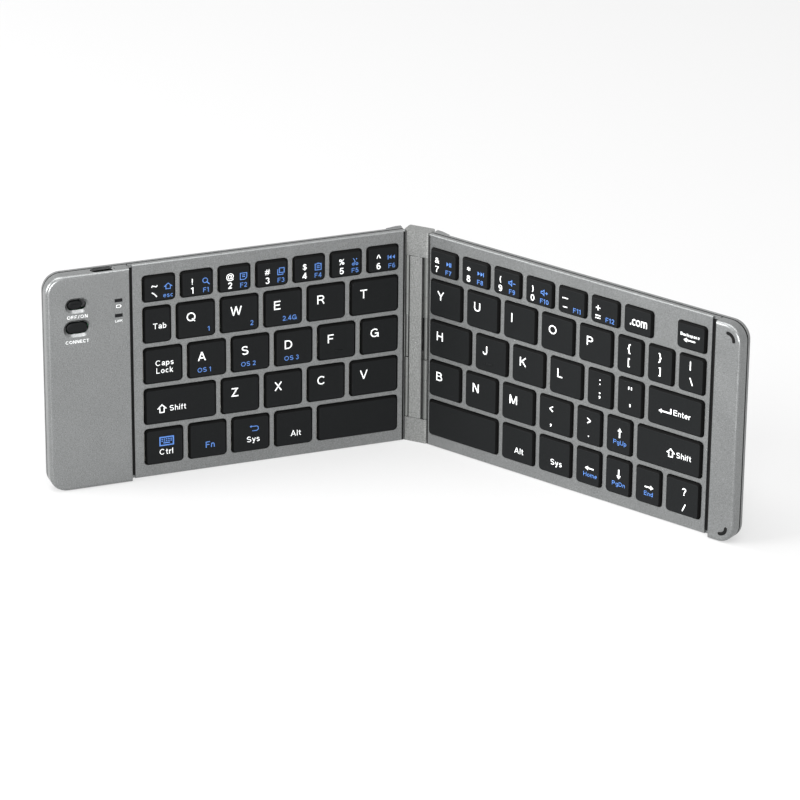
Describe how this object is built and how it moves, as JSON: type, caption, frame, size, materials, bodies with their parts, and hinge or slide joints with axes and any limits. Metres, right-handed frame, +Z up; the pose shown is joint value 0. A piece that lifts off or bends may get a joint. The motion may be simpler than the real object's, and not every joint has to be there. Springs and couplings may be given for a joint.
{
  "type": "folding keyboard",
  "caption": "Two-part wireless keyboard that folds shut on a narrow spine hinge, standing on its front edge in an open V.",
  "frame": {"origin": "foot of the spine's solid lower block, midway between the two fold axes", "axes": "+X across the spine towards the right half, -Y out of the typing side, +Z up along the fold axes, from the space bar edge to the number row edge"},
  "size_m": [0.2577, 0.1104, 0.0892],
  "materials": {
    "deck_paint": "fine metallic gunmetal paint",
    "flank_paint": "fine metallic gunmetal paint",
    "shell_paint": "fine metallic gunmetal paint",
    "spine_paint": "fine metallic gunmetal paint",
    "spine_texture": "fine grained",
    "hinge_metal": "satin",
    "pin_steel": "drawn",
    "flex_film": "satin film",
    "circuit_board": "solder mask",
    "battery_foil": "satin foil",
    "socket_steel": "satin",
    "switch_plastic": "matt",
    "window_plastic": "smoked",
    "control_plastic": "matt",
    "black_rubber": "matt",
    "key_plate_steel": "stamped",
    "membrane_film": "printed film",
    "lift_plastic": "moulded",
    "dome_rubber": "milky",
    "magnet_steel": "nickel plated",
    "screw_steel": "blackened",
    "keycap_plastic": "fine matt"
  },
  "bodies": {
    "spine": {"spine_body": "spine_paint", "spine_cover": "spine_texture", "left_hinge_pin": "pin_steel", "right_hinge_pin": "pin_steel", "flex_cable": "flex_film"},
    "left_half": {"left_deck_frame": "deck_paint", "left_flank_cover": "flank_paint", "left_groove_seal": "black_rubber", "left_back_shell": "shell_paint", "left_hinge_leaf": "hinge_metal", "left_key_plate": "key_plate_steel", "left_membrane": "membrane_film", "left_key_lifts": "lift_plastic", "left_rubber_domes": "dome_rubber", "main_board": "circuit_board", "battery": "battery_foil", "usb_socket": "socket_steel", "power_switch_housing": "switch_plastic", "pairing_switch": "socket_steel", "indicator_windows": "window_plastic", "left_magnets": "magnet_steel", "left_screws": "screw_steel", "left_back_feet": "black_rubber"},
    "right_half": {"right_deck_frame": "deck_paint", "right_flank_cover": "flank_paint", "right_groove_seal": "black_rubber", "right_back_shell": "shell_paint", "right_hinge_leaf": "hinge_metal", "right_key_plate": "key_plate_steel", "right_membrane": "membrane_film", "right_key_lifts": "lift_plastic", "right_rubber_domes": "dome_rubber", "right_magnets": "magnet_steel", "right_screws": "screw_steel", "right_back_feet": "black_rubber", "flank_bumpers": "black_rubber"},
    "power_slider": {"power_slider": "control_plastic"},
    "pairing_button": {"pairing_button": "control_plastic"},
    "left_space_key": {"left_space_key": "keycap_plastic"},
    "left_base_keys": {"left_base_keys": "keycap_plastic"},
    "left_shift_key": {"left_shift_key": "keycap_plastic"},
    "left_bottom_keys": {"left_bottom_keys": "keycap_plastic"},
    "caps_key": {"caps_key": "keycap_plastic"},
    "left_home_keys": {"left_home_keys": "keycap_plastic"},
    "tab_key": {"tab_key": "keycap_plastic"},
    "left_top_keys": {"left_top_keys": "keycap_plastic"},
    "left_number_keys": {"left_number_keys": "keycap_plastic"},
    "right_space_key": {"right_space_key": "keycap_plastic"},
    "right_base_keys": {"right_base_keys": "keycap_plastic"},
    "right_shift_key": {"right_shift_key": "keycap_plastic"},
    "right_bottom_keys": {"right_bottom_keys": "keycap_plastic"},
    "arrow_keys": {"arrow_keys": "keycap_plastic"},
    "enter_key": {"enter_key": "keycap_plastic"},
    "right_home_keys": {"right_home_keys": "keycap_plastic"},
    "right_top_keys": {"right_top_keys": "keycap_plastic"},
    "right_number_keys": {"right_number_keys": "keycap_plastic"},
    "backspace_key": {"backspace_key": "keycap_plastic"}
  },
  "joints": [
    {"name": "left_hinge", "type": "hinge", "parent": "spine", "child": "left_half", "pos_m": [-0.0041, 0, 0.0446], "axis": [0, 0, 1], "range_deg": [-45, 45]},
    {"name": "right_hinge", "type": "hinge", "parent": "spine", "child": "right_half", "pos_m": [0.0041, 0, 0.0446], "axis": [0, 0, -1], "range_deg": [-12, 78]},
    {"name": "power_switch_slide", "type": "slide", "parent": "left_half", "child": "power_slider", "axis": [0.7071, 0.7071, 0], "range_m": [0, 0.0013]},
    {"name": "pairing_press", "type": "slide", "parent": "left_half", "child": "pairing_button", "axis": [-0.7071, 0.7071, 0], "range_m": [0, 0.0004], "stiffness_N_per_m": 2000, "springref_m": -0.0004},
    {"name": "left_space_key_press", "type": "slide", "parent": "left_half", "child": "left_space_key", "axis": [-0.7071, 0.7071, 0], "range_m": [0, 0.0012], "stiffness_N_per_m": 400, "springref_m": -0.0005},
    {"name": "left_base_keys_press", "type": "slide", "parent": "left_half", "child": "left_base_keys", "axis": [-0.7071, 0.7071, 0], "range_m": [0, 0.0012], "stiffness_N_per_m": 400, "springref_m": -0.0005},
    {"name": "left_shift_key_press", "type": "slide", "parent": "left_half", "child": "left_shift_key", "axis": [-0.7071, 0.7071, 0], "range_m": [0, 0.0012], "stiffness_N_per_m": 400, "springref_m": -0.0005},
    {"name": "left_bottom_keys_press", "type": "slide", "parent": "left_half", "child": "left_bottom_keys", "axis": [-0.7071, 0.7071, 0], "range_m": [0, 0.0012], "stiffness_N_per_m": 400, "springref_m": -0.0005},
    {"name": "caps_key_press", "type": "slide", "parent": "left_half", "child": "caps_key", "axis": [-0.7071, 0.7071, 0], "range_m": [0, 0.0012], "stiffness_N_per_m": 400, "springref_m": -0.0005},
    {"name": "left_home_keys_press", "type": "slide", "parent": "left_half", "child": "left_home_keys", "axis": [-0.7071, 0.7071, 0], "range_m": [0, 0.0012], "stiffness_N_per_m": 400, "springref_m": -0.0005},
    {"name": "tab_key_press", "type": "slide", "parent": "left_half", "child": "tab_key", "axis": [-0.7071, 0.7071, 0], "range_m": [0, 0.0012], "stiffness_N_per_m": 400, "springref_m": -0.0005},
    {"name": "left_top_keys_press", "type": "slide", "parent": "left_half", "child": "left_top_keys", "axis": [-0.7071, 0.7071, 0], "range_m": [0, 0.0012], "stiffness_N_per_m": 400, "springref_m": -0.0005},
    {"name": "left_number_keys_press", "type": "slide", "parent": "left_half", "child": "left_number_keys", "axis": [-0.7071, 0.7071, 0], "range_m": [0, 0.0012], "stiffness_N_per_m": 400, "springref_m": -0.0005},
    {"name": "right_space_key_press", "type": "slide", "parent": "right_half", "child": "right_space_key", "axis": [0.2079, 0.9781, 0], "range_m": [0, 0.0012], "stiffness_N_per_m": 400, "springref_m": -0.0005},
    {"name": "right_base_keys_press", "type": "slide", "parent": "right_half", "child": "right_base_keys", "axis": [0.2079, 0.9781, 0], "range_m": [0, 0.0012], "stiffness_N_per_m": 400, "springref_m": -0.0005},
    {"name": "right_shift_key_press", "type": "slide", "parent": "right_half", "child": "right_shift_key", "axis": [0.2079, 0.9781, 0], "range_m": [0, 0.0012], "stiffness_N_per_m": 400, "springref_m": -0.0005},
    {"name": "right_bottom_keys_press", "type": "slide", "parent": "right_half", "child": "right_bottom_keys", "axis": [0.2079, 0.9781, 0], "range_m": [0, 0.0012], "stiffness_N_per_m": 400, "springref_m": -0.0005},
    {"name": "arrow_keys_press", "type": "slide", "parent": "right_half", "child": "arrow_keys", "axis": [0.2079, 0.9781, 0], "range_m": [0, 0.0012], "stiffness_N_per_m": 400, "springref_m": -0.0005},
    {"name": "enter_key_press", "type": "slide", "parent": "right_half", "child": "enter_key", "axis": [0.2079, 0.9781, 0], "range_m": [0, 0.0012], "stiffness_N_per_m": 400, "springref_m": -0.0005},
    {"name": "right_home_keys_press", "type": "slide", "parent": "right_half", "child": "right_home_keys", "axis": [0.2079, 0.9781, 0], "range_m": [0, 0.0012], "stiffness_N_per_m": 400, "springref_m": -0.0005},
    {"name": "right_top_keys_press", "type": "slide", "parent": "right_half", "child": "right_top_keys", "axis": [0.2079, 0.9781, 0], "range_m": [0, 0.0012], "stiffness_N_per_m": 400, "springref_m": -0.0005},
    {"name": "right_number_keys_press", "type": "slide", "parent": "right_half", "child": "right_number_keys", "axis": [0.2079, 0.9781, 0], "range_m": [0, 0.0012], "stiffness_N_per_m": 400, "springref_m": -0.0005},
    {"name": "backspace_key_press", "type": "slide", "parent": "right_half", "child": "backspace_key", "axis": [0.2079, 0.9781, 0], "range_m": [0, 0.0012], "stiffness_N_per_m": 400, "springref_m": -0.0005}
  ]
}
